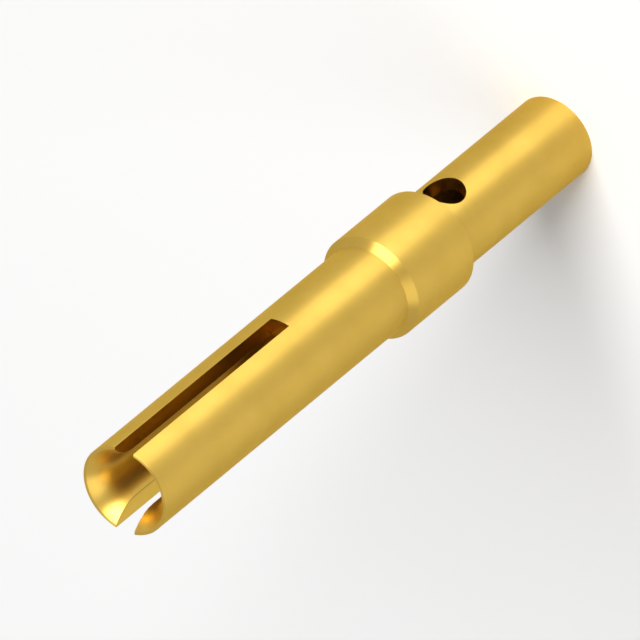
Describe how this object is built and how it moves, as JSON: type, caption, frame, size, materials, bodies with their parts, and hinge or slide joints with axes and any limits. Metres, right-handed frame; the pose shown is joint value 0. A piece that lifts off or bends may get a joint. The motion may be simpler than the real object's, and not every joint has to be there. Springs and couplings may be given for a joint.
{
  "type": "crimp socket contact",
  "caption": "Turned, gold-plated crimp socket contact: slotted bell-mouthed socket, retaining collar and crimp barrel with an inspection hole.",
  "frame": {"origin": "centre of the crimp end's flat face, which the contact stands on", "axes": "+Z along the contact's axis, from the crimp end to the socket's mouth; -Y towards the inspection hole and one of the two slots, +Y towards the other slot"},
  "size_m": [0.0046, 0.0046, 0.0298],
  "materials": {
    "gold_plating": "bright gold plate over turned copper alloy, with fine lathe marks round the axis"
  },
  "bodies": {
    "root": {"contact": "gold_plating"}
  },
  "joints": []
}
